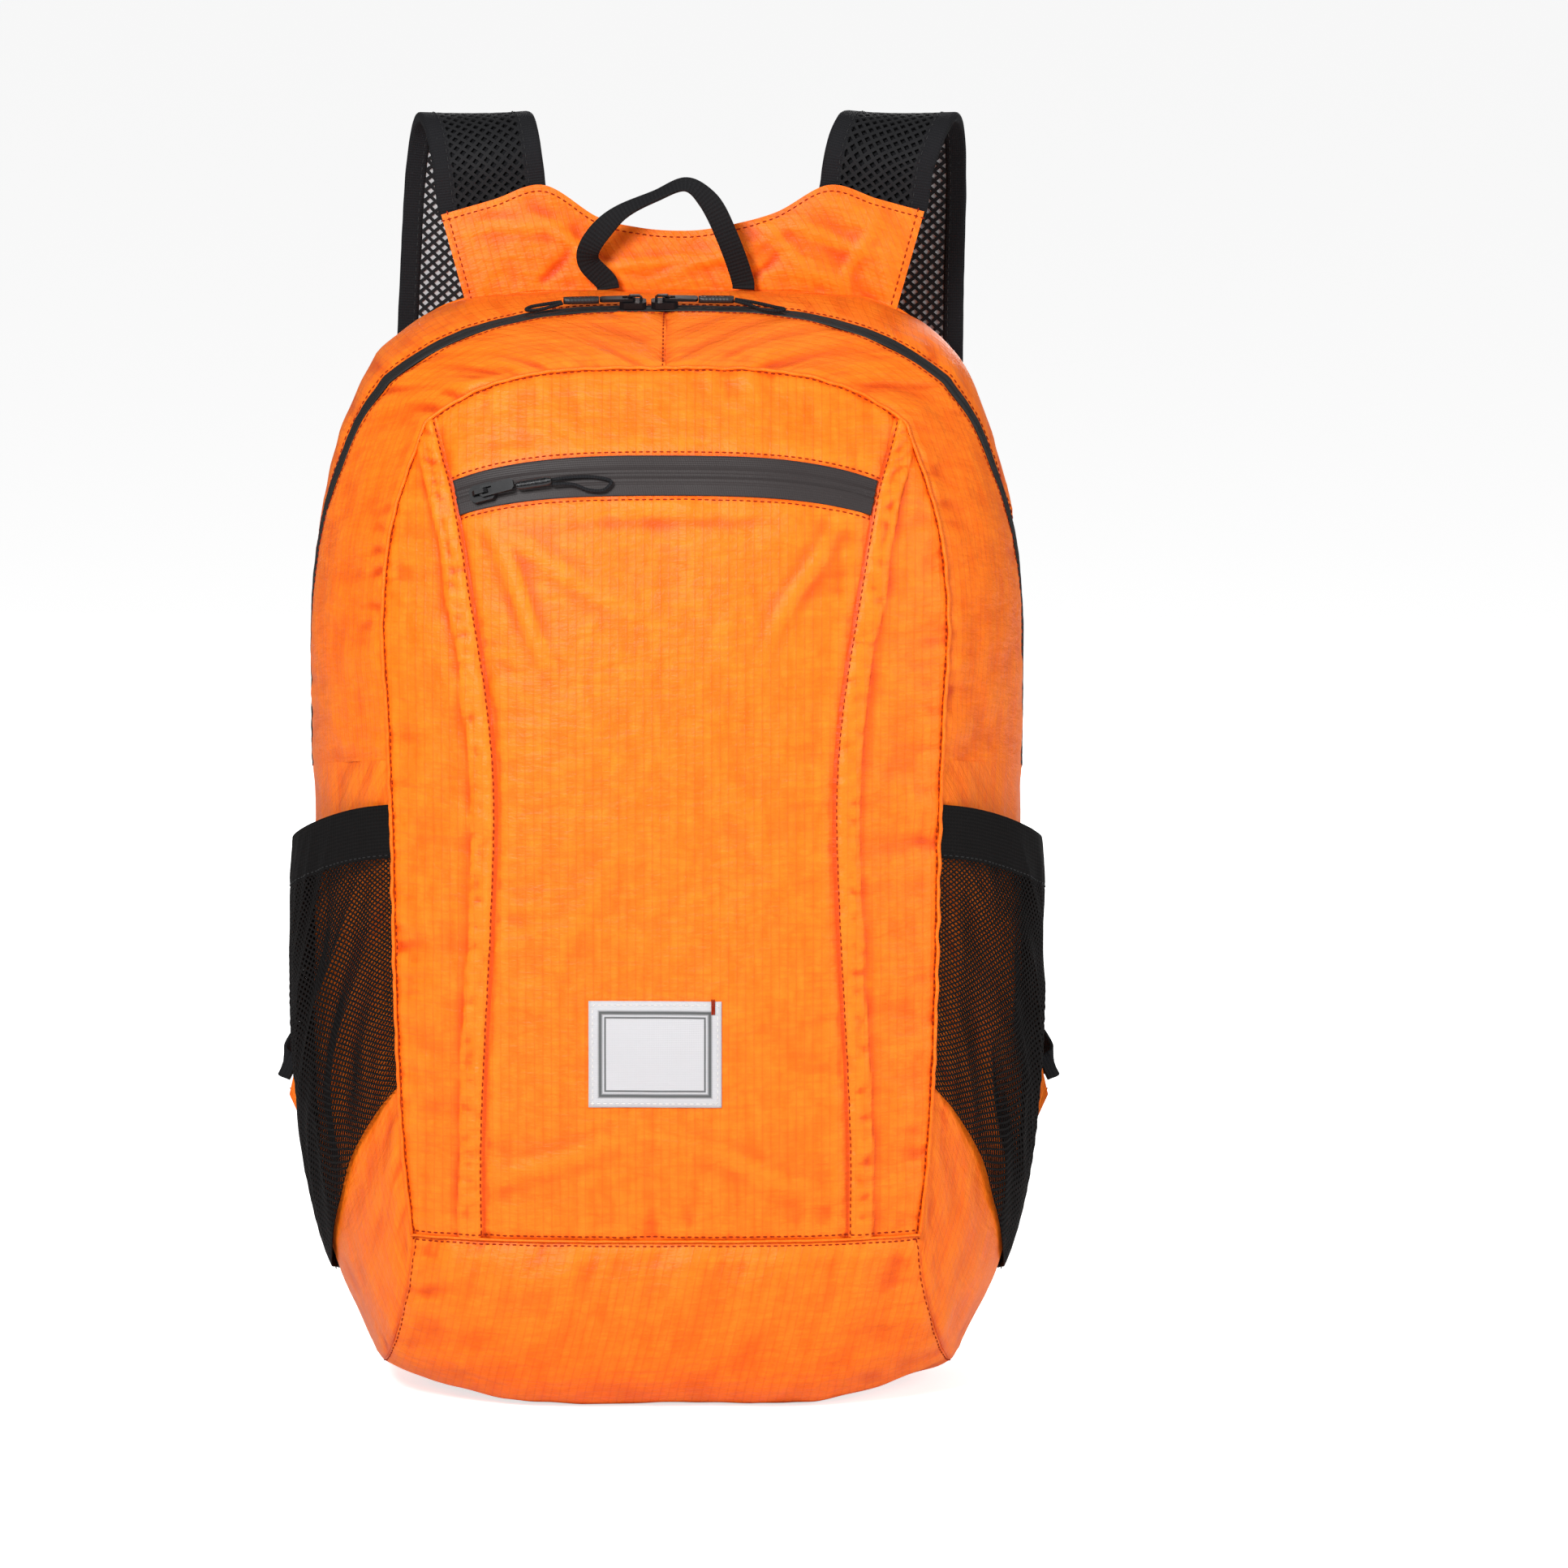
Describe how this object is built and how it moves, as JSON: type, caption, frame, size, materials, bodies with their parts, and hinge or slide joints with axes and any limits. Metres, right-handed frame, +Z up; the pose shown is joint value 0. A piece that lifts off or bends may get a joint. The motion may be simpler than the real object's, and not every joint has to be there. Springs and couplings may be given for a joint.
{
  "type": "packable backpack",
  "caption": "Light packable daypack of orange ripstop cloth with a zipped front pocket, an arched main zip, mesh side pockets, mesh shoulder straps and a haul handle, standing on its base.",
  "frame": {"origin": "middle of the flat underside of the base, between the sides", "axes": "+Z up the standing bag, +Y from the front panel to the back panel, +X to the right as seen from the front"},
  "size_m": [0.3137, 0.1956, 0.5019],
  "materials": {
    "orange_cloth": "ripstop, slight sheen",
    "zip_tape": "coated tape",
    "strap_mesh": "spacer mesh",
    "strap_binding": "ribbed tape",
    "webbing": "woven",
    "pocket_net": "open net",
    "elastic": "knitted",
    "black_plastic": "satin",
    "zip_hardware": "moulded, satin gloss",
    "pull_grip": "matt",
    "pull_cord": "braided",
    "label_cloth": "woven, bare"
  },
  "bodies": {
    "root": {"front_panel": "orange_cloth", "front_top_panel": "orange_cloth", "base_panel": "orange_cloth", "back_panel": "orange_cloth", "rear_strip": "orange_cloth", "yoke": "orange_cloth", "front_side_strip_left": "orange_cloth", "side_panel_left": "orange_cloth", "front_gusset_left": "orange_cloth", "wing_tab_left": "orange_cloth", "front_side_strip_right": "orange_cloth", "side_panel_right": "orange_cloth", "front_gusset_right": "orange_cloth", "wing_tab_right": "orange_cloth", "front_pocket_zip": "zip_tape", "main_zip": "zip_tape", "shoulder_strap_left": "strap_mesh", "shoulder_strap_right": "strap_mesh", "strap_binding_left_outer": "strap_binding", "strap_binding_left_inner": "strap_binding", "strap_binding_right_outer": "strap_binding", "strap_binding_right_inner": "strap_binding", "haul_handle": "webbing", "lower_webbing_left": "webbing", "lower_webbing_right": "webbing", "pocket_net_left": "pocket_net", "pocket_net_right": "pocket_net", "pocket_hem_left": "elastic", "pocket_binding_left": "elastic", "pocket_hem_right": "elastic", "pocket_binding_right": "elastic", "ladder_lock_left": "black_plastic", "ladder_lock_right": "black_plastic", "slider_front": "zip_hardware", "puller_front": "zip_hardware", "slider_main_left": "zip_hardware", "puller_main_left": "zip_hardware", "slider_main_right": "zip_hardware", "puller_main_right": "zip_hardware", "grip_front": "pull_grip", "grip_main_left": "pull_grip", "grip_main_right": "pull_grip", "pull_cord_front": "pull_cord", "pull_cord_main_left": "pull_cord", "pull_cord_main_right": "pull_cord", "label_patch": "label_cloth"}
  },
  "joints": []
}
